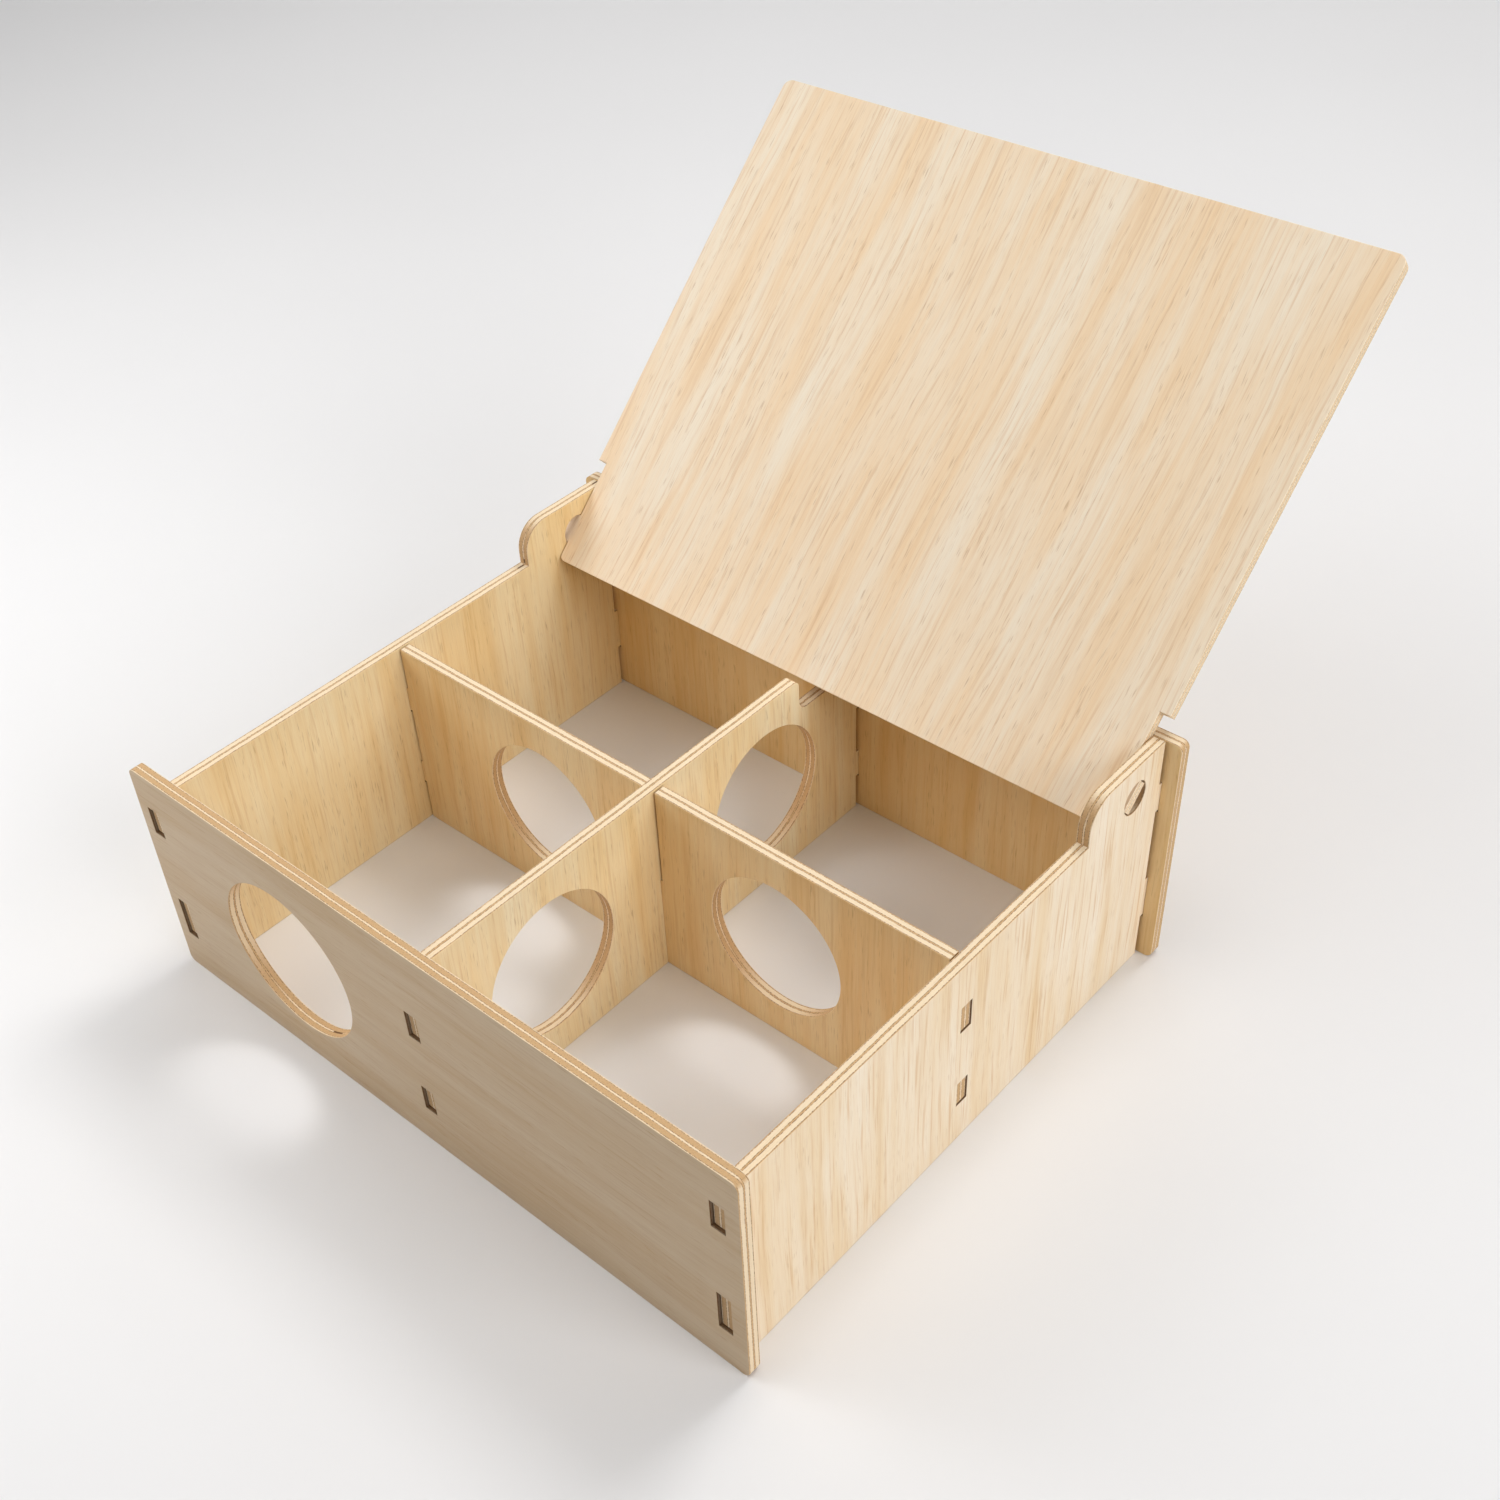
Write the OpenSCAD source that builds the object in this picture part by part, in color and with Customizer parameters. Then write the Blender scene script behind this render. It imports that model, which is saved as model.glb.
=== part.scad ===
// Wooden toy box with four rooms, round doorways and a flip lid.
// Six plywood sheets stand on edge and lock together with tabs and slots. The box has
// no floor. The lid turns on two flat tabs, each in a round hole in a side wall's ear.
//
// X runs across the front, Y from front to back and Z up. The origin is where the two
// dividers cross, on the surface that the box stands on. The lid is drawn open, leaning
// back on the top edge of the back panel.

/* [Sheets] */
// Thickness of the plywood
ply = 5.5; // [5:0.1:6]
// Width of the front and back panels
panel_w = 300; // [295:1:340]
// Height of the front panel
front_h = 102; // [98:1:120]
// Height of the back panel
back_h = 108; // [104:1:112]
// Radius of the front and back panels' corners
panel_r = 3; // [1:0.5:8]
// Width over the two side walls
box_w = 287.5; // [270:0.5:290]
// Depth of the side walls and of the centre divider, without their tabs
sheet_d = 235.5; // [228:0.5:240]
// Height of the side walls and of the centre divider
wall_h = 91; // [89:1:95]
// How far the cross divider's top lies below the walls
cross_drop = 0.5; // [0:0.5:3]
// How far the back panel stands off the walls' ends
back_gap = 1.5; // [0.5:0.5:3]
// Gap between a side wall and the cross divider's end
side_gap = 0.7; // [0.5:0.1:2]

/* [Hinge ears] */
// Height of the ears at the back of the side walls
ear_h = 109; // [108:0.5:112]
// Ear's front edge, behind the middle of the box
ear_y = 71; // [71:0.5:75]
// Radius of the ear's front shoulder
ear_r = 12; // [6:1:12]
// Hinge axis, behind the middle of the box
hinge_y = 100.4; // [99.6:0.1:101]
// Diameter of the pivot holes
pivot_d = 14; // [12:0.5:15]
// Radial play of the lid's flat pivots in their holes
pivot_play = 0.1; // [0.05:0.01:0.1]

/* [Lid] */
// Width of the lid over the side walls
lid_w = 284.6; // [280:0.1:287]
// Hinge axis to the lid's free edge
lid_reach = 211.5; // [200:0.5:216]
// Hinge axis to the step where the lid widens over the walls
lid_step = 31.4; // [31:0.1:34]
// Hinge axis to the end of the tail between the ears
lid_tail = 14.7; // [12:0.1:15.5]
// Radius of the free edge's corners
lid_r = 4; // [1:0.5:8]
// Radius of the tail's corners
tail_r = 2.5; // [1:0.5:4]
// Gap between the tail and each ear
tail_gap = 0.4; // [0.3:0.1:1]
// Gap between the walls' top edges and the closed lid
lid_rest_gap = 0.3; // [0.3:0.1:0.5]
// Gap between the open lid and the back panel's top edge
lean_gap = 0.1; // [0.1:0.05:0.2]

/* [Round doorways] */
// Diameter of the entry hole in the front panel
entry_d = 68.5; // [50:0.5:72]
// Centre of the entry hole across the front
entry_x = -71.5; // [-80:0.5:-60]
// Centre of the entry hole above the floor
entry_z = 50; // [45:0.5:52]
// Diameter of the doorways in the dividers
door_d = 62; // [40:1:66]
// Centre of each doorway from the middle of the box
door_out = 60; // [50:1:70]
// Centre of the doorways above the floor
door_z = 45.5; // [42:0.5:48]

/* [Tabs and slots] */
// Side walls' front tabs: bottom and top of the lower one, then of the upper one
wall_front_tabs = [19.5, 37.6, 73.5, 85.5]; // [10:0.5:88]
// Side walls' back tabs
wall_back_tabs = [20.5, 40.5, 75, 88.5]; // [10:0.5:90]
// Centre divider's front tabs
centre_front_tabs = [20, 31.2, 58.9, 70.7]; // [10:0.5:85]
// Centre divider's back tabs
centre_back_tabs = [17, 30.5, 54, 67]; // [10:0.5:70]
// Cross divider's tabs, the same at both ends
cross_tabs = [20, 31.2, 58.9, 70.7]; // [10:0.5:85]
// Play beside a tab: to the left in the panels, behind it in the side walls
slot_side = 0.5; // [0.1:0.1:0.8]
// Play under a tab
slot_under = 0.8; // [0.2:0.1:1.2]
// How far a tab's end lies below the outer face of the front or back panel
tab_recess = 1.2; // [0:0.1:2]
// How far a tab's end lies below the outer face of a side wall
side_tab_recess = 0.4; // [0:0.1:2]
// Extra width of the cross divider's slot, to the right of the centre divider
lap_play = 0.8; // [0.2:0.1:1.2]

/* [Notch for the lid's tail] */
// Front of the notch in the centre divider, behind the middle of the box
notch_y = 81.5; // [79:0.5:82.5]
// Height of the centre divider behind the notch's front
notch_z = 75.5; // [72:0.5:76.5]
// Radius at the bottom of the notch
notch_r = 5; // [2:0.5:6]
// Radius at the top corner of the notch
notch_top_r = 3; // [1:0.5:4]

/* [Hidden] */
$fn = 96;

cut = 1;  // how far a cutting shape runs past a face
panel_x = panel_w / 2;  // end of the front and back panels
wall_x = box_w / 2;  // outer face of a side wall
room_x = wall_x - ply;  // inner face of a side wall
front_y = -sheet_d / 2;  // inner face of the front panel, where the walls begin
sheet_end_y = sheet_d / 2;  // where the walls and the centre divider end
back_y = sheet_end_y + back_gap;  // inner face of the back panel
front_tab_y = front_y - ply + tab_recess;  // end of a tab in the front panel
back_tab_y = back_y + ply - tab_recess;  // end of a tab in the back panel
tab_x = wall_x - side_tab_recess;  // end of a tab in a side wall
cross_h = wall_h - cross_drop;
lap_z = wall_h / 2;  // height where the two dividers' slots meet
hinge_z = wall_h + lid_rest_gap + ply / 2;
pivot_r = pivot_d / 2;

// The open lid stops with its back face against the back panel's top inner edge.
stop_dy = back_y - hinge_y;
stop_dz = back_h - hinge_z;
lean = atan2(stop_dy, stop_dz) - asin((ply / 2 + lean_gap) / norm([stop_dy, stop_dz]));

tail_x = room_x - tail_gap;  // half the width of the lid's tail
// A flat pivot's corners run on the hole's wall, so its width follows from the hole.
pivot_half_w = sqrt(pow(pivot_r - pivot_play, 2) - pow(ply / 2, 2));

// Plate standing across X: the outline is drawn in Y and Z.
module plate_across_x(x) {
    translate([x, 0, 0])
        rotate([90, 0, 90])
            linear_extrude(ply)
                children();
}

// Plate standing across Y: the outline is drawn in X and Z.
module plate_across_y(y) {
    translate([0, y + ply, 0])
        rotate([90, 0, 0])
            linear_extrude(ply)
                children();
}

module area(lo, hi) {
    translate(lo)
        square(hi - lo);
}

// Rectangle with four round corners.
module rounded_area(lo, hi, r) {
    area([lo.x + r, lo.y], [hi.x - r, hi.y]);
    area([lo.x, lo.y + r], [hi.x, hi.y - r]);
    for (x = [lo.x + r, hi.x - r], y = [lo.y + r, hi.y - r])
        translate([x, y])
            circle(r);
}

// Two tabs at the heights in levels, from one place to another along the sheet.
module tab_pair(from, to, levels) {
    for (i = [0, 2])
        area([from, levels[i]], [to, levels[i + 1]]);
}

// Two slots for one sheet's tabs. The play beside the tab lies before or after it.
module slot_pair(start, levels) {
    for (i = [0, 2])
        area([start, levels[i] - slot_under], [start + ply + slot_side, levels[i + 1]]);
}

// Slots of a front or back panel: the two side walls' and the centre divider's.
module panel_slots(wall_levels, centre_levels) {
    slot_pair(-wall_x - slot_side, wall_levels);
    slot_pair(-ply / 2 - slot_side, centre_levels);
    slot_pair(room_x - slot_side, wall_levels);
}

module round_hole(at, d) {
    translate(at)
        circle(d = d);
}

module front_panel() {
    color([0.73, 0.64, 0.53])
        plate_across_y(front_y - ply)
            difference() {
                rounded_area([-panel_x, 0], [panel_x, front_h], panel_r);
                round_hole([entry_x, entry_z], entry_d);
                panel_slots(wall_front_tabs, centre_front_tabs);
            }
}

module back_panel() {
    color([0.72, 0.57, 0.38])
        plate_across_y(back_y)
            difference() {
                rounded_area([-panel_x, 0], [panel_x, back_h], panel_r);
                panel_slots(wall_back_tabs, centre_back_tabs);
            }
}

// Raised back part of a side wall, with a round front shoulder.
module ear_outline() {
    area([ear_y, 0], [sheet_end_y, ear_h - ear_r]);
    area([ear_y + ear_r, 0], [sheet_end_y, ear_h]);
    translate([ear_y + ear_r, ear_h - ear_r])
        circle(ear_r);
}

module side_outline() {
    difference() {
        union() {
            area([front_y, 0], [sheet_end_y, wall_h]);
            ear_outline();
            tab_pair(front_tab_y, front_y + cut, wall_front_tabs);
            tab_pair(sheet_end_y - cut, back_tab_y, wall_back_tabs);
        }
        slot_pair(-ply / 2, cross_tabs);
        round_hole([hinge_y, hinge_z], pivot_d);
    }
}

module left_side() {
    color([0.87, 0.74, 0.53])
        plate_across_x(-wall_x)
            side_outline();
}

module right_side() {
    color([0.93, 0.84, 0.7])
        plate_across_x(room_x)
            side_outline();
}

// Centre divider's outline: a high front part, and a low back part that clears the tail.
module centre_outline() {
    area([front_y, 0], [notch_y, wall_h - notch_top_r]);
    area([front_y, 0], [notch_y - notch_top_r, wall_h]);
    translate([notch_y - notch_top_r, wall_h - notch_top_r])
        circle(notch_top_r);
    area([notch_y - cut, 0], [sheet_end_y, notch_z]);
    difference() {
        area([notch_y - cut, notch_z - cut], [notch_y + notch_r, notch_z + notch_r]);
        round_hole([notch_y + notch_r, notch_z + notch_r], 2 * notch_r);
    }
}

module centre_divider() {
    color([0.9, 0.78, 0.58])
        plate_across_x(-ply / 2)
            difference() {
                union() {
                    centre_outline();
                    tab_pair(front_tab_y, front_y + cut, centre_front_tabs);
                    tab_pair(sheet_end_y - cut, back_tab_y, centre_back_tabs);
                }
                for (side = [-1, 1])
                    round_hole([side * door_out, door_z], door_d);
                area([-ply / 2, -cut], [ply / 2 + slot_side, lap_z]);
            }
}

module cross_divider() {
    end_x = room_x - side_gap;
    color([0.8, 0.66, 0.45])
        plate_across_y(-ply / 2)
            difference() {
                union() {
                    area([-end_x, 0], [end_x, cross_h]);
                    tab_pair(-tab_x, -end_x + cut, cross_tabs);
                    tab_pair(end_x - cut, tab_x, cross_tabs);
                }
                for (side = [-1, 1])
                    round_hole([side * door_out, door_z], door_d);
                area([-ply / 2, lap_z], [ply / 2 + lap_play, cross_h + cut]);
            }
}

// Lid's outline, flat, with the hinge axis along X through the origin.
module lid_outline() {
    wide_x = lid_w / 2;
    rounded_area([-wide_x, lid_step], [wide_x, lid_reach], lid_r);
    area([-wide_x, lid_step], [wide_x, lid_step + 2 * lid_r]);
    rounded_area([-tail_x, -lid_tail], [tail_x, lid_step + lid_r], tail_r);
    area([-tab_x, -pivot_half_w], [tab_x, pivot_half_w]);
}

module lid() {
    color([0.94, 0.85, 0.72])
        translate([0, hinge_y, hinge_z])
            rotate([90 - lean, 0, 0])
                translate([0, 0, -ply / 2])
                    linear_extrude(ply)
                        lid_outline();
}

front_panel();
back_panel();
left_side();
right_side();
centre_divider();
cross_divider();
lid();
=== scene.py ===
import math
from functools import partial

import bpy
import numpy as np
from mathutils import Matrix, Vector
from mathutils.geometry import tessellate_polygon


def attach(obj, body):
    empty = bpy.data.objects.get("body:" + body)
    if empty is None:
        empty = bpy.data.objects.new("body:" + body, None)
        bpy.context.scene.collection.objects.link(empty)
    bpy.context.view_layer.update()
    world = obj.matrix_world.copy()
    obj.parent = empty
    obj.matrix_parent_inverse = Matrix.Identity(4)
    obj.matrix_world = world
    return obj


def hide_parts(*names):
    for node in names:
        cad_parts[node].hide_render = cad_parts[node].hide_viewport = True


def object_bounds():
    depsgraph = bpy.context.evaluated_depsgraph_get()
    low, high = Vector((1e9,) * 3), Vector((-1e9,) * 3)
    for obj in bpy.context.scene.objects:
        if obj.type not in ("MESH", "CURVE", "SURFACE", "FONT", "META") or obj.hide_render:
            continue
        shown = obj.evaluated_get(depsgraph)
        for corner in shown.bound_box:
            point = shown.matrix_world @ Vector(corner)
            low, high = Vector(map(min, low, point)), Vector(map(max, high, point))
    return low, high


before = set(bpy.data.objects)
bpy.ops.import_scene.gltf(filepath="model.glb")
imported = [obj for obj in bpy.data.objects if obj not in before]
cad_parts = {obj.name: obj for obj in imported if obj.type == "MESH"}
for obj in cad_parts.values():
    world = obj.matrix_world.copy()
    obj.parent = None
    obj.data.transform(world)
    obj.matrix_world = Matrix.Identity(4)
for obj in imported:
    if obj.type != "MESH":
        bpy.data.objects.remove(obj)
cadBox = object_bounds()
mm = 0.001
print("frame loaded:", ", ".join(sorted(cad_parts)))


def colour(hexCode):
    # sRGB hex to the linear colour that shaders use
    parts = [int(hexCode.lstrip("#")[i:i + 2], 16) / 255 for i in (0, 2, 4)]
    return [c / 12.92 if c <= 0.04045 else ((c + 0.055) / 1.055) ** 2.4 for c in parts] + [1.0]


def addNode(tree, kind, settings, *inputs, **namedInputs):
    # inputs go in the node's own order or by name: numbers, colours, sockets, or nodes for their first output
    node = tree.nodes.new("ShaderNode" + kind)
    for key, value in settings.items():
        setattr(node, key, value)
    sockets = [socket for socket in node.inputs if socket.enabled]
    pairs = list(zip(sockets, inputs))
    pairs += [(node.inputs[name.replace("_", " ")], value) for name, value in namedInputs.items()]
    for socket, value in pairs:
        if isinstance(value, bpy.types.Node):
            value = next(output for output in value.outputs if output.enabled)
        if isinstance(value, bpy.types.NodeSocket):
            tree.links.new(value, socket)
        else:
            socket.default_value = value
    return node


times, plus, minus = {"operation": "MULTIPLY"}, {"operation": "ADD"}, {"operation": "SUBTRACT"}
size, larger, smaller = {"operation": "ABSOLUTE"}, {"operation": "MAXIMUM"}, {"operation": "MINIMUM"}
divide, isAbove = {"operation": "DIVIDE"}, {"operation": "GREATER_THAN"}
smooth = {"interpolation_type": "SMOOTHSTEP"}
mixColours, mixNumbers = {"data_type": "RGBA"}, {"data_type": "FLOAT"}

# 5.5 mm plywood: ash veneer on poplar plies, rotary cut, sanded, routed to shape and left bare.
# To the eye: pale straight streaks, short dark pores, creamy edges with brown end-grain bands.
# Sizes are in millimetres, and strengths go from 0 to 1.
ashPlywood = {
    "thickness": 5.5,
    "facePly": 0.5,  # veneer on both faces, grain along the sheet
    "corePly": 0.75,  # middle ply, grain the same way as the faces
    "plyWander": 0.2,  # how much the glue lines wander through the thickness
    "wanderCloud": (18, 18, 50),
    "glueLine": 0.18,  # about three times the real width, so that it shows
    "glueCore": 0.072,  # the part of a glue line that is dark all through
    "plySeam": 0.05,
    "ringWidth": 6.5,  # growth rings in the veneer
    "lineWidth": 1.3,  # fine dark lines between the rings
    "fibreWidth": 0.45,
    "poreWidth": 0.4,  # real pores are about 0.25 mm, drawn a little wide so that they show
    "poreLength": 7.5,
    "poreDepth": 0.05,
    "poresBetweenRows": 0.12,
    "paleVeneer": "#FAE8CC",
    "honeyVeneer": "#F2D3A4",
    "ringShade": "#DDB27A",
    "pore": "#B98646",
    "longGrainEdge": "#F5E0BF",
    "endGrainEdge": "#D3AC7C",
    "cutPore": "#9A6E3F",
    "speck": (0.8, 0.8, 0.35),  # cut pores in end grain, coarser than the real ones
    "speckStrength": (0.1, 0.42),  # on long grain, on end grain
    "streak": (9, 9, 0.5),  # lines in long grain
    "streakStrength": 0.2,
    "coreVoid": "#6E4A26",  # short gaps between the strips of the middle ply, not cut into the mesh: their dark brown is painted shade for the gap's depth
    "voidLength": 15,
    "glue": "#7B5028",
    "glueStrength": 0.85,
    "paintedSlotShade": "#5E3813",  # painted shade: dark brown on the cut walls of tight slots, where the deep recess falls into shadow
    "slotStrength": 0.75,
}

# where a layer of noise starts to show, and where it shows in full
showsFrom = {
    "boardTone": (0.32, 0.68), "ringTone": (0.34, 0.66), "ringLines": (0.54, 0.7), "fineLines": (0.52, 0.7),
    "fibreLines": (0.4, 0.7), "poreRows": (0.46, 0.62), "pores": (0.56, 0.72), "specks": (0.48, 0.75),
    "streaks": (0.45, 0.7), "glue": (0.38, 0.62), "voids": (0.7, 0.72),
}
# how far a surface has to turn to count as end grain, or as a cut edge: the cosine at the start, and in full
turnsTo = {"endGrain": (0.15, 0.85), "cutEdge": (0.5, 0.8)}
# height of each mark against the pore depth, and the shine
relief = {"fibre": 0.35, "pore": 0.5, "longGrain": 0.4, "endGrain": 1.6, "void": 6.0}
shine = {"fibreWander": 0.08, "cutRoughness": 0.78, "ior": 1.5}


def sheetFinish(name, look):
    # bare sanded ash: matt, with a soft sheen along the fibres
    ply = dict(ashPlywood, **look)
    material = bpy.data.materials.new(name)
    material.use_nodes = True
    tree = material.node_tree
    tree.nodes.clear()
    add = partial(addNode, tree)

    place = add("Attribute", {"attribute_name": "sheetMm"}).outputs["Vector"]
    facing = add("Attribute", {"attribute_name": "sheetFacing"}).outputs["Vector"]
    across, along, depth = add("SeparateXYZ", {}, place).outputs
    facingAcross, facingAlong, facingOut = add("SeparateXYZ", {}, facing).outputs
    across = add("Math", plus, across, ply["boardAcross"])
    # each face has its own veneer, so the layers are read elsewhere for the back
    backVeneer = 31.0
    side = add("Math", times, add("Math", isAbove, depth, ply["thickness"] / 2), backVeneer)

    # noise stretched along the grain: width and length in mm, detail, roughness, and how far it bends
    # the layers after it
    grainLayers = {
        "wander": (70, 210, 1.0, 0.5, ply["grainWander"]),
        "waver": (9, 38, 1.0, 0.5, 1.6),
        "board": (20, 150, 2.0, 0.6, 0),
        "rings": (ply["ringWidth"], 170, 3.0, 0.62, 0),
        "lines": (ply["lineWidth"], 48, 2.5, 0.6, 0),
        "fibres": (ply["fibreWidth"], 16, 2.0, 0.5, 0),
        "poreSpots": (ply["poreWidth"], ply["poreLength"], 1.0, 0.5, 0),
        "poreRows": (ply["ringWidth"] / 3, 60, 1.5, 0.55, 0),
    }
    layerStep = 5
    grain = {}
    for layer, (width, length, detail, roughness, bending) in grainLayers.items():
        seed = ply["seed"] + layerStep * len(grain)
        spot = add("CombineXYZ", {}, add("Math", divide, across, width), add("Math", divide, along, length),
                   add("Math", plus, side, seed))
        grain[layer] = add("TexNoise", {}, spot, 1.0, detail, roughness)
        if bending:
            bend = add("Math", times, add("Math", minus, grain[layer], 0.5), bending)
            across = add("Math", plus, across, bend)

    boardTone = add("MapRange", smooth, grain["board"], *showsFrom["boardTone"])
    ringTone = add("MapRange", smooth, grain["rings"], *showsFrom["ringTone"])
    boardPart = add("Math", times, boardTone, ply["boardTone"])
    ringPart = add("Math", times, ringTone, 1 - ply["boardTone"])
    veneer = add("Mix", mixColours, add("Math", plus, boardPart, ringPart),
                 colour(ply["paleVeneer"]), colour(ply["honeyVeneer"]))
    # dark marks along the grain, from broad to fine
    darkMarks = {
        "ringLines": ("rings", ply["ringStrength"]),
        "fineLines": ("lines", ply["lineStrength"]),
        "fibreLines": ("fibres", ply["fibreStrength"]),
    }
    for mark, (layer, strength) in darkMarks.items():
        shown = add("Math", times, add("MapRange", smooth, grain[layer], *showsFrom[mark]), strength)
        veneer = add("Mix", mixColours, shown, veneer, colour(ply["ringShade"]))
    # pores stand in rows in the early wood of each ring, and thin out between
    fewest = ply["poresBetweenRows"]
    poreRows = add("MapRange", smooth, grain["poreRows"], *showsFrom["poreRows"], fewest, 1.0)
    pores = add("Math", times, add("MapRange", smooth, grain["poreSpots"], *showsFrom["pores"]), poreRows)
    poreMarks = add("Math", times, pores, ply["poreStrength"])
    veneer = add("Mix", mixColours, poreMarks, veneer, colour(ply["pore"]))

    # plies on a cut edge, from the middle outwards, with glue lines that wander a little
    cloudScale = [1 / length for length in ply["wanderCloud"]]
    cloud = add("TexNoise", {}, add("VectorMath", times, place, cloudScale), 1.0, 1.0)
    wander = add("Math", times, add("Math", minus, cloud, 0.5), ply["plyWander"] * 2)
    middle = ply["thickness"] / 2
    fromMiddle = add("Math", size, add("Math", minus, add("Math", plus, depth, wander), middle))
    coreEdge = ply["corePly"] / 2
    faceEdge = middle - ply["facePly"]
    seam = ply["plySeam"]
    inCore = add("MapRange", smooth, fromMiddle, coreEdge - seam, coreEdge + seam, 1.0, 0.0)
    inFace = add("MapRange", smooth, fromMiddle, faceEdge - seam, faceEdge + seam)
    runsAlong = add("Math", larger, inCore, inFace)
    # a ply shows end grain where the cut faces along its own fibres
    facesAcross, facesAlong = add("Math", size, facingAcross), add("Math", size, facingAlong)
    facesFibres = add("Mix", mixNumbers, runsAlong, facesAcross, facesAlong)
    endGrain = add("MapRange", smooth, facesFibres, *turnsTo["endGrain"])

    # sawn plies: fine specks in end grain, streaks in long grain
    speckScale = [1 / length for length in ply["speck"]]
    specks = add("TexNoise", {}, add("VectorMath", times, place, speckScale), 1.0, 2.0, 0.6)
    streakScale = [1 / length for length in ply["streak"]]
    streaks = add("TexNoise", {}, add("VectorMath", times, place, streakScale), 1.0, 3.0, 0.6)
    cut = add("Mix", mixColours, endGrain, colour(ply["longGrainEdge"]), colour(ply["endGrainEdge"]))
    speckStrength = add("MapRange", {}, endGrain, 0.0, 1.0, *ply["speckStrength"])
    speckMarks = add("Math", times, add("MapRange", smooth, specks, *showsFrom["specks"]), speckStrength)
    cut = add("Mix", mixColours, speckMarks, cut, colour(ply["cutPore"]))
    streakTone = add("MapRange", smooth, streaks, *showsFrom["streaks"])
    streakMarks = add("Math", times, streakTone, ply["streakStrength"])
    cut = add("Mix", mixColours, streakMarks, cut, colour(ply["endGrainEdge"]))
    nearCore = add("Math", size, add("Math", minus, fromMiddle, coreEdge))
    nearFace = add("Math", size, add("Math", minus, fromMiddle, faceEdge))
    nearSeam = add("Math", smaller, nearCore, nearFace)
    glueLine = add("MapRange", smooth, nearSeam, ply["glueCore"], ply["glueLine"], 1.0, 0.0)
    glue = add("Math", times, glueLine, add("MapRange", smooth, specks, *showsFrom["glue"]))
    cut = add("Mix", mixColours, add("Math", times, glue, ply["glueStrength"]), cut, colour(ply["glue"]))
    # core voids: a dark brown mark and a bump, painted shade for gaps in the middle ply
    voidScale = (1 / ply["voidLength"], 1 / ply["voidLength"], 0.0)
    voidSpot = add("VectorMath", plus, add("VectorMath", times, place, voidScale), (ply["seed"], 0, 0))
    voidNoise = add("TexNoise", {}, voidSpot, 1.0, 1.0)
    voids = add("Math", times, add("MapRange", smooth, voidNoise, *showsFrom["voids"]), inCore)
    cut = add("Mix", mixColours, voids, cut, colour(ply["coreVoid"]))
    # painted shade: the cut walls of tight slots and pivot holes are darkened, as if in shadow
    tight = add("Attribute", {"attribute_name": "sheetTight"}).outputs["Fac"]
    paintedSlotShade = add("Math", times, tight, ply["slotStrength"])
    cut = add("Mix", mixColours, paintedSlotShade, cut, colour(ply["paintedSlotShade"]))

    onEdge = add("MapRange", smooth, add("Math", size, facingOut), *turnsTo["cutEdge"], 1.0, 0.0)
    surface = add("Mix", mixColours, onEdge, veneer, cut)

    # pores and fibres are hollows a few hundredths of a millimetre deep
    fibreHeight = add("Math", times, grain["fibres"], relief["fibre"])
    faceHeight = add("Math", minus, fibreHeight, add("Math", times, pores, relief["pore"]))
    grainRelief = add("MapRange", {}, endGrain, 0.0, 1.0, relief["longGrain"], relief["endGrain"])
    hollows = add("Math", larger, glue, add("Math", times, voids, relief["void"]))
    cutHeight = add("Math", minus, add("Math", times, specks, grainRelief), hollows)
    height = add("Mix", mixNumbers, onEdge, faceHeight, cutHeight)
    bump = add("Bump", {}, Strength=ply["reliefStrength"], Distance=ply["poreDepth"] * mm, Height=height)
    smoothest, roughest = ply["roughness"] - shine["fibreWander"], ply["roughness"] + shine["fibreWander"]
    veneerRoughness = add("MapRange", {}, grain["fibres"], 0.0, 1.0, smoothest, roughest)
    roughness = add("Mix", mixNumbers, onEdge, veneerRoughness, shine["cutRoughness"])
    shader = add("BsdfPrincipled", {}, Base_Color=surface, Roughness=roughness, Normal=bump, IOR=shine["ior"])
    add("OutputMaterial", {}, Surface=shader)
    return material


cutMesh = {
    "edgeRound": 0.28,  # sanded arris, mm
    "arcStep": 0.9,  # longest step along a round cut, mm
    "straightTurn": 0.2,  # a smaller turn than this is no corner, degrees
    "arcTurn": 25,  # a larger turn than this is a real corner, degrees
    "likeStep": 0.1,  # steps that differ by less than this share belong to one arc
    "tightOpening": 15,  # a narrower opening than this is a tab's slot or a pivot hole, whose cut walls get painted shade, mm how strong the painted shade in a pivot hole is, against a tab's slot
    "roundShade": 0.35,  # how dirty a pivot hole is, against a tab's slot
    "weldPerMetre": 1e6,  # corners closer than a micrometre are one
    "sameFacing": 0.999,  # cosine between facets of one flat face
    "noArea": 1e-9,  # a triangle below this is only a line, mm2
}


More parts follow.
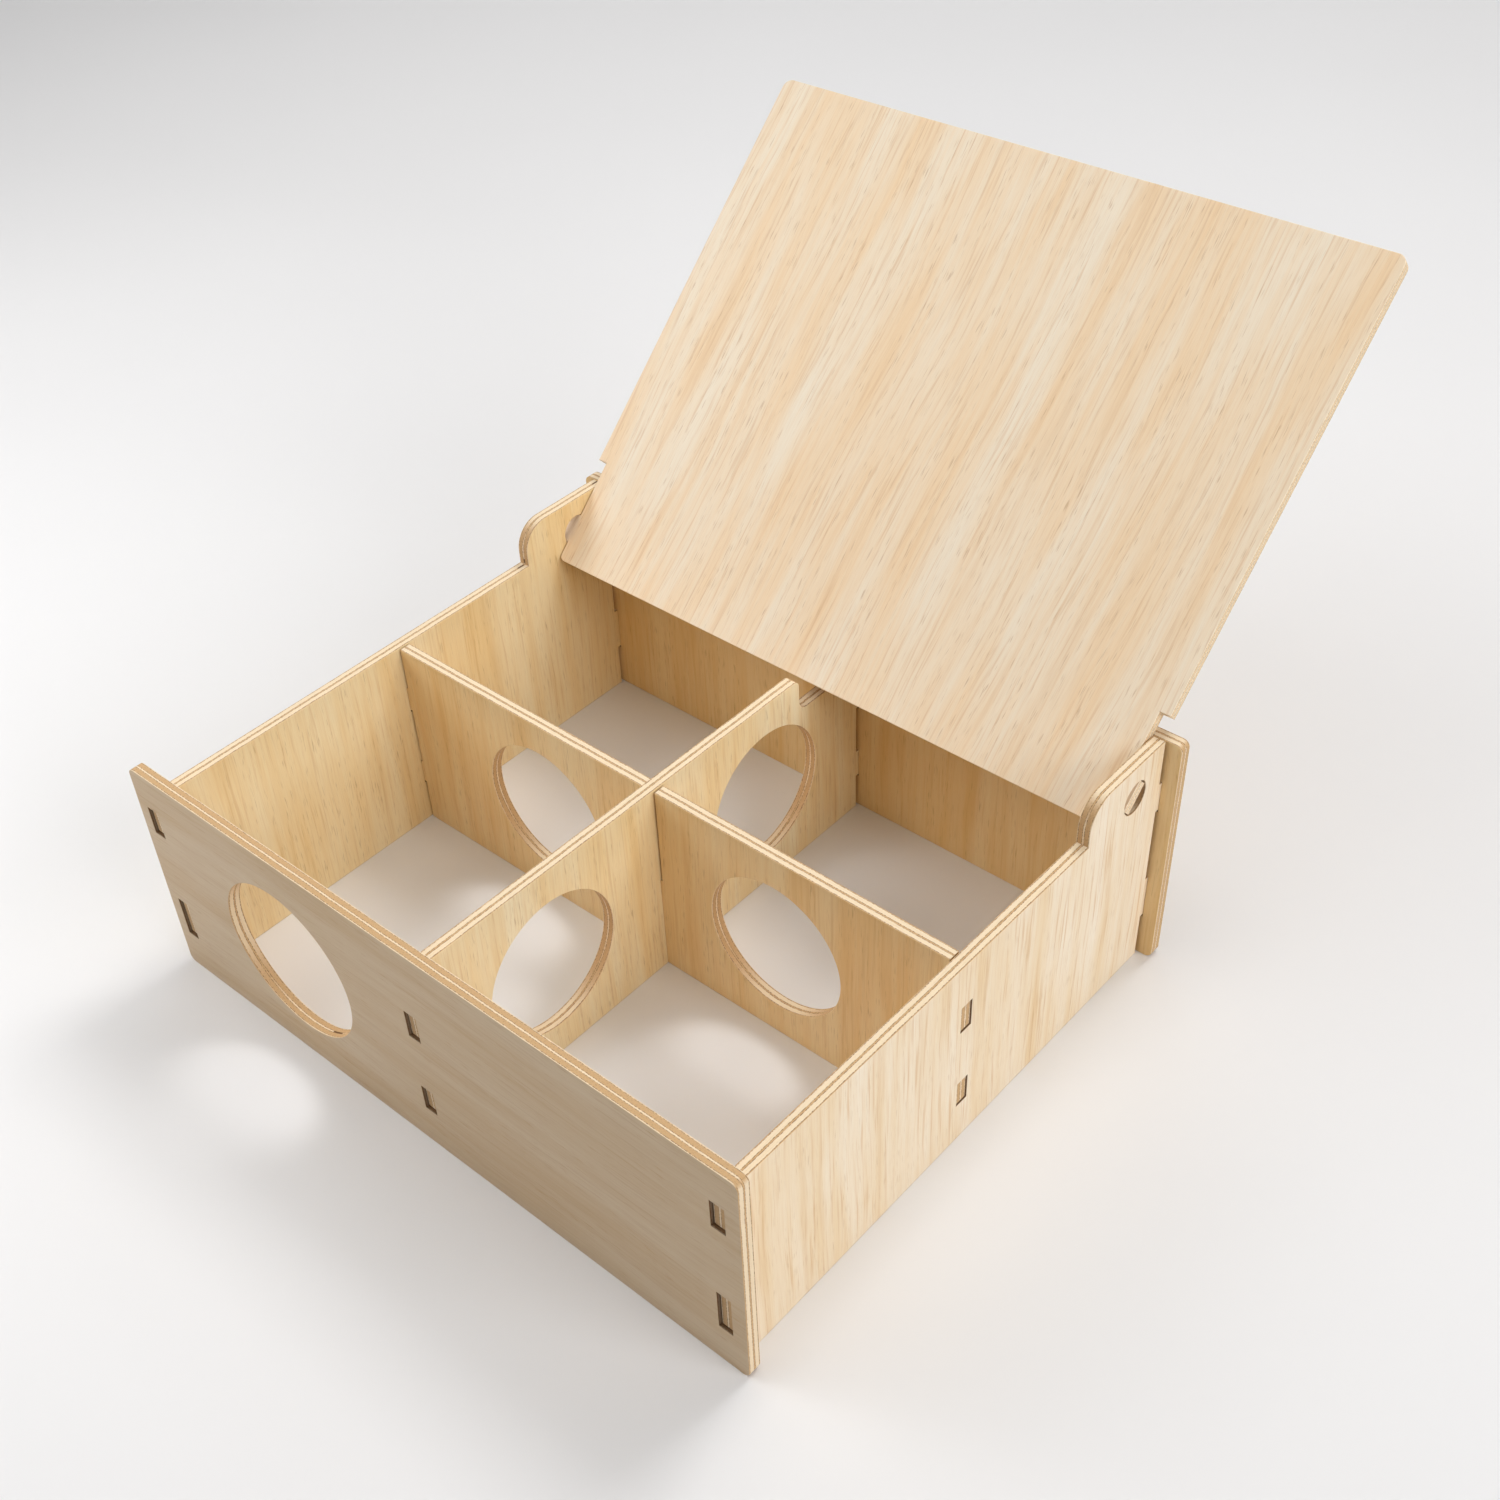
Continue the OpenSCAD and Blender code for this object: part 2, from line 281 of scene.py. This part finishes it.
def cutLoops(nodeName, goodSide, grain):
    # outlines of one sheet in millimetres: x across the grain, y along it, seen from the good side
    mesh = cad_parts[nodeName].data
    mesh.calc_loop_triangles()
    spots = np.array([v.co[:] for v in mesh.vertices])
    welded = {}
    steps = np.round(spots * cutMesh["weldPerMetre"]).astype(int)
    which = np.array([welded.setdefault(tuple(step), len(welded)) for step in steps])
    places = np.zeros((len(welded), 3))
    places[which] = spots
    triangles = which[np.array([t.vertices[:] for t in mesh.loop_triangles])]
    sides = places[triangles]
    crossed = np.cross(sides[:, 1] - sides[:, 0], sides[:, 2] - sides[:, 0])
    areas = np.linalg.norm(crossed, axis=1)

    # the good face is the way that the largest facet on the good side looks
    largest = np.argmax(areas * (crossed @ np.array(goodSide) > 0))
    out = crossed[largest] / areas[largest]
    alongGrain = np.array(grain, float) - np.dot(grain, out) * out
    alongGrain /= np.linalg.norm(alongGrain)
    acrossGrain = np.cross(alongGrain, out)
    corners = triangles[(crossed @ out) > cutMesh["sameFacing"] * areas]
    face = places[np.array(sorted({i for t in corners for i in t}))]
    origin = acrossGrain * (face @ acrossGrain).min()
    origin = origin + alongGrain * (face @ alongGrain).min() + out * (face @ out).max()
    thickness = (face @ out).max() - (places @ out).min()

    # an edge that only one facet of the face has is on an outline
    edges = {(t[i], t[(i + 1) % 3]) for t in corners for i in range(3)}
    following = {}
    for a, b in sorted(edges):
        if (b, a) not in edges:
            following[a] = b
    loops = []
    while following:
        at = next(iter(following))
        loop = []
        while at in following:
            loop.append(at)
            at = following.pop(at)
        points = (places[loop] - origin) / mm
        loops.append(np.stack([points @ acrossGrain, points @ alongGrain], 1))
    return loops, (origin, acrossGrain, alongGrain, out), thickness / mm


def turnAngles(loop):
    ahead = np.roll(loop, -1, 0) - loop
    behind = loop - np.roll(loop, 1, 0)
    return np.arctan2(behind[:, 0] * ahead[:, 1] - behind[:, 1] * ahead[:, 0], (behind * ahead).sum(1))


def refineArcs(loop):
    # drops points on straight cuts, and puts more points on round ones
    loop = loop[np.abs(turnAngles(loop)) > math.radians(cutMesh["straightTurn"])]
    turn = turnAngles(loop)
    count = len(loop)
    chords = np.linalg.norm(np.roll(loop, -1, 0) - loop, axis=1)
    made = []
    for i in range(count):
        after = (i + 1) % count
        a, b = loop[i], loop[after]
        made.append(a)
        chord = chords[i]
        # a step of an arc is as long as the step before or after it, and turns the same way at both ends
        difference = min(abs(chords[i - 1] - chord), abs(chords[after] - chord))
        likeNext = difference < cutMesh["likeStep"] * chord
        bend = max(turn[i], turn[after], key=abs)
        sameWay = turn[i] * turn[after] > 0
        if not (likeNext and sameWay and abs(bend) < math.radians(cutMesh["arcTurn"])):
            continue
        radius = chord / 2 / math.sin(abs(bend) / 2)
        inward = np.array([-(b - a)[1], (b - a)[0]]) / chord * math.copysign(1, bend)
        centre = (a + b) / 2 + inward * math.sqrt(radius * radius - chord * chord / 4)
        pieces = int(chord // cutMesh["arcStep"]) + 1
        for k in range(1, pieces):
            spoke = a + (b - a) * k / pieces - centre
            made.append(centre + spoke / np.linalg.norm(spoke) * radius)
    return np.array(made)


def sheetShell(loops, thickness):
    # points in sheet millimetres, faces, the facing of each face's corners, and how much painted shade each
    # point's cut gets in a tight opening
    r = cutMesh["edgeRound"]
    lean = math.sqrt(0.5)
    # depth, how far in from the cut, and how much the surface looks sideways and outwards
    profile = [(0, r, 0, 1), (r * (1 - lean), r * (1 - lean), lean, lean), (r, 0, 1, 0)]
    profile += [(thickness - depth, inset, side, -up) for depth, inset, side, up in reversed(profile)]
    points, faces, facings, tightness, rims = [], [], [], [], []
    for loop in loops:
        loop = refineArcs(loop)
        count = len(loop)
        ahead = np.roll(loop, -1, 0) - loop
        ahead /= np.linalg.norm(ahead, axis=1)[:, None]
        outward = np.stack([ahead[:, 1], -ahead[:, 0]], 1)
        before = np.roll(outward, 1, 0)
        mitre = (outward + before) / (1 + (outward * before).sum(1))[:, None]
        onArc = (outward * before).sum(1) > math.cos(math.radians(cutMesh["arcTurn"]))
        rounded = outward + before
        rounded /= np.linalg.norm(rounded, axis=1)[:, None]
        first = len(points)
        for depth, inset, sideways, up in profile:
            points += [(*(loop[k] - mitre[k] * inset), depth) for k in range(count)]
        rims.append((first, count))
        # painted shade for the cut walls of a narrow opening, weaker in a round pivot hole
        tight = float(np.ptp(loop, axis=0).min() < cutMesh["tightOpening"])
        if onArc.all():
            tight *= cutMesh["roundShade"]
        tightness += [tight] * (count * len(profile))
        for level in range(len(profile) - 1):
            for k in range(count):
                nextK = (k + 1) % count
                a, b = first + level * count + k, first + level * count + nextK
                faces.append((a, a + count, b + count, b))
                corners = []
                for corner, cornerLevel in ((k, level), (k, level + 1), (nextK, level + 1), (nextK, level)):
                    plan = rounded[corner] if onArc[corner] else outward[k]
                    sideways, up = profile[cornerLevel][2:]
                    corners.append((plan[0] * sideways, plan[1] * sideways, up))
                facings.append(corners)

    # the two flat faces, with a hole for each opening
    for level, up in ((0, 1), (len(profile) - 1, -1)):
        indices = [first + level * count + k for first, count in rims for k in range(count)]
        outlines = []
        for first, count in rims:
            start = first + level * count
            outlines.append([Vector((*points[start + k][:2], 0)) for k in range(count)])
        for triangle in tessellate_polygon(outlines):
            a, b, c = (np.array(points[indices[i]][:2]) for i in triangle)
            turn = (b - a)[0] * (c - a)[1] - (b - a)[1] * (c - a)[0]
            if abs(turn) < cutMesh["noArea"]:
                continue
            order = triangle if turn * up > 0 else triangle[::-1]
            faces.append([indices[i] for i in order])
            facings.append([(0, 0, up)] * 3)
    return points, faces, facings, tightness


def buildSheet(nodeName, body, sheet):
    # the CAD sheet again, from its cut outlines, with sanded arrises and plywood axes on its mesh
    loops, axes, thickness = cutLoops(nodeName, sheet["goodSide"], sheet["grain"])
    origin, acrossGrain, alongGrain, out = axes
    points, faces, facings, tightness = sheetShell(loops, thickness)
    turned = np.stack([acrossGrain, alongGrain, out])
    spots = origin + np.array(points) * (1, 1, -1) @ turned * mm
    mesh = bpy.data.meshes.new(nodeName + "Sheet")
    mesh.from_pydata(spots.tolist(), [], faces)
    mesh.validate()
    mesh.polygons.foreach_set("use_smooth", [True] * len(mesh.polygons))
    cornerFacings = np.array([facing for corners in facings for facing in corners], float)
    mesh.normals_split_custom_set((cornerFacings @ turned).tolist())
    placeData = mesh.attributes.new("sheetMm", "FLOAT_VECTOR", "POINT")
    placeData.data.foreach_set("vector", np.array(points, float).ravel())
    tightData = mesh.attributes.new("sheetTight", "FLOAT", "POINT")
    tightData.data.foreach_set("value", tightness)
    facingData = mesh.attributes.new("sheetFacing", "FLOAT_VECTOR", "CORNER")
    facingData.data.foreach_set("vector", cornerFacings.ravel())
    mesh.materials.append(sheetFinish(nodeName + "Plywood", sheet))
    piece = bpy.data.objects.new(nodeName + "_sheet", mesh)
    bpy.context.scene.collection.objects.link(piece)
    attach(piece, body)
    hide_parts(nodeName)
    print(f"{piece.name}: {len(loops)} cuts, {thickness:.2f} mm thick, {len(mesh.polygons)} faces")


# the pale sheet: how strongly each mark shows, and how far its grain bends, in millimetres
plainLook = {
    "grainWander": 9.0, "boardTone": 0.6, "ringStrength": 0.14, "lineStrength": 0.4, "fibreStrength": 0.12,
    "poreStrength": 0.55, "reliefStrength": 0.4, "roughness": 0.5,
}
# the dividers, the back and the left side, whose faces are seen inside the box, get warmer grain and veneer
# colours than the rest: painted shade for the warm, dim light between the walls
warmLook = dict(plainLook, ringShade="#D2A562", pore="#A0742F", poreStrength=0.4, lineStrength=0.32)
across, upwards = (1, 0, 0), (0, 0, 1)
front, back, left, right = (0, -1, 0), (0, 1, 0), (-1, 0, 0), (1, 0, 0)

# the front panel's grain runs across the box; its veneer colours are darker than the other sheets' as painted
# shade, for the face that looks away from the main lights
frontPanelSheet = dict(
    plainLook, slot="front_plywood", goodSide=front, grain=across, seed=11.0, boardAcross=40,
    grainWander=12, poreStrength=0.4, ringStrength=0.08, lineStrength=0.25,
    paleVeneer="#DDC6A6", honeyVeneer="#D3B58C", ringShade="#B98F5E",
)
buildSheet("front_panel", "box", frontPanelSheet)

# the back panel's veneer colours are browner than the other walls' as painted shade, for its inside face in
# the lid's shadow
backPanelSheet = dict(
    warmLook, slot="wall_plywood", goodSide=back, grain=upwards, seed=23.0, boardAcross=310,
    paleVeneer="#EED4A5", honeyVeneer="#E6BE7D",
)
buildSheet("back_panel", "box", backPanelSheet)

leftSideSheet = dict(
    warmLook, slot="wall_plywood", goodSide=left, grain=upwards, seed=37.0, boardAcross=120,
    paleVeneer="#FAE9C2", honeyVeneer="#F3D49B",
)
buildSheet("left_side", "box", leftSideSheet)

# the right side is the plainest to see: pale, with clear straight lines
rightSideSheet = dict(
    plainLook, slot="wall_plywood", goodSide=right, grain=upwards, seed=41.0, boardAcross=520,
    ringStrength=0.3, lineStrength=0.6, poreStrength=0.3, paleVeneer="#FCEDD6", honeyVeneer="#F4D9AF",
)
buildSheet("right_side", "box", rightSideSheet)

centreDividerSheet = dict(
    warmLook, slot="divider_plywood", goodSide=right, grain=upwards, seed=53.0, boardAcross=700,
    paleVeneer="#FDF0CE", honeyVeneer="#F8DCA6",
)
buildSheet("centre_divider", "box", centreDividerSheet)

crossDividerSheet = dict(
    warmLook, slot="divider_plywood", goodSide=front, grain=upwards, seed=61.0, boardAcross=910,
    paleVeneer="#F7E0B4", honeyVeneer="#EFC88A",
)
buildSheet("cross_divider", "box", crossDividerSheet)

# the lid leans back, so its good side looks up and forwards, and its grain runs up the slope
# its cut edges get colours nearly as light as its face: painted light where the edges would read darker in
# shade
lidSheet = dict(
    plainLook, slot="lid_plywood", goodSide=(0, -0.7, 0.7), grain=(0, 0.7, 0.7), seed=73.0, boardAcross=1300,
    grainWander=14, poreStrength=0.45, ringStrength=0.2, paleVeneer="#FFF0D8", honeyVeneer="#FEDEB4",
    ringShade="#E0B27C", pore="#BF8F56", longGrainEdge="#FFEED4", endGrainEdge="#F4D8B0",
)
buildSheet("lid", "lid", lidSheet)
print("sheets built")

# seamless background paper, smooth and uncoated: matt and nearly white, with very faint clouds in its tone
studioFloor = {
    "size": 3.4,  # metres
    "paper": "#F2F1F1",
    "shade": "#EDECEC",
    "roughness": 0.75,
    "cloudMm": 260,
    "clearance": 0.02,  # between the box and the paper, mm
}
floorMaterial = bpy.data.materials.new("seamlessPaper")
floorMaterial.use_nodes = True
floorMaterial.node_tree.nodes.clear()
addToFloor = partial(addNode, floorMaterial.node_tree)
floorPlace = addToFloor("NewGeometry", {}).outputs["Position"]
floorClouds = addToFloor("TexNoise", {}, floorPlace, 1 / (studioFloor["cloudMm"] * mm), 1.0)
paper, shade = colour(studioFloor["paper"]), colour(studioFloor["shade"])
floorTone = addToFloor("Mix", mixColours, floorClouds, paper, shade)
floorShader = addToFloor("BsdfPrincipled", {}, Base_Color=floorTone, Roughness=studioFloor["roughness"])
addToFloor("OutputMaterial", {}, Surface=floorShader)
half = studioFloor["size"] / 2
floorCorners = [(-half, -half, 0), (half, -half, 0), (half, half, 0), (-half, half, 0)]
floorMesh = bpy.data.meshes.new("studioFloor")
floorMesh.from_pydata(floorCorners, [], [(0, 1, 2, 3)])
floorMesh.materials.append(floorMaterial)
studioPaper = bpy.data.objects.new("studio_floor", floorMesh)
studioPaper.location.z = cadBox[0].z - studioFloor["clearance"] * mm
bpy.context.scene.collection.objects.link(studioPaper)

# white softboxes round the table, aimed at the box:
# degrees from +X towards +Y, degrees up, distance and width in metres, watts
softboxes = {
    "windowRight": (0, 28, 2.2, 1.4, 27.2),
    "windowBack": (90, 58, 2.2, 1.4, 6.5),
    "keyBack": (85, 60, 2.2, 0.65, 14.0),
    "overhead": (0, 88, 2.2, 1.4, 5.2),
    "leftNear": (203, 35, 1.0, 0.6, 2.0),
    "leftLow": (222, 26, 0.85, 0.4, 0.8),
    "leftBack": (138, 32, 2.2, 1.4, 6.5),
    "leftFront": (225, 48, 2.2, 1.4, 7.6),
    "frontTop": (290, 62, 2.2, 1.4, 3.0),
}
lightAim = Vector((0, 0.05, 0.05))
for boxName, (azimuth, elevation, distance, width, watts) in softboxes.items():
    lamp = bpy.data.lights.new(boxName, "AREA")
    lamp.shape = "SQUARE"
    lamp.size = width
    lamp.energy = watts
    turn, high = math.radians(azimuth), math.radians(elevation)
    towards = Vector((math.cos(turn) * math.cos(high), math.sin(turn) * math.cos(high), math.sin(high)))
    stand = bpy.data.objects.new(boxName, lamp)
    stand.location = lightAim + towards * distance
    stand.rotation_mode = "QUATERNION"
    stand.rotation_quaternion = towards.to_track_quat("Z", "Y")
    bpy.context.scene.collection.objects.link(stand)

# the room beyond the paper is pale, but only the softboxes light the table
room = {"colour": "#DEDDDC", "strength": 1.0}
world = bpy.data.worlds.new("paleRoom")
bpy.context.scene.world = world
world.use_nodes = True
background = world.node_tree.nodes["Background"]
background.inputs["Color"].default_value = colour(room["colour"])
background.inputs["Strength"].default_value = room["strength"]
world.cycles_visibility.diffuse = False
world.cycles_visibility.glossy = False
# the wood's colours are meant to be seen as they are
bpy.context.scene.view_settings.view_transform = "Standard"

# camera: place in metres, and angles in degrees as a tripod head has them
cameraView = {
    "place": (0.38103, -0.36092, 0.54452),
    "azimuth": 43.054,
    "elevation": 42.092,
    "roll": -2.988,
    "lens": 45.04,
    "sensor": 36.0,
    "shift": (0.00615, 0.04640),
    "nearest": 0.01,
    "farthest": 50,
}
camera = bpy.data.cameras.new("camera")
camera.sensor_width = cameraView["sensor"]
camera.lens = cameraView["lens"]
camera.shift_x, camera.shift_y = cameraView["shift"]
camera.clip_start, camera.clip_end = cameraView["nearest"], cameraView["farthest"]
tripod = bpy.data.objects.new("camera", camera)
tripod.matrix_world = (Matrix.Translation(cameraView["place"])
                       @ Matrix.Rotation(math.radians(cameraView["azimuth"]), 4, "Z")
                       @ Matrix.Rotation(math.radians(90 - cameraView["elevation"]), 4, "X")
                       @ Matrix.Rotation(math.radians(cameraView["roll"]), 4, "Z"))
bpy.context.scene.collection.objects.link(tripod)
bpy.context.scene.camera = tripod
print("stage, lights and camera set")
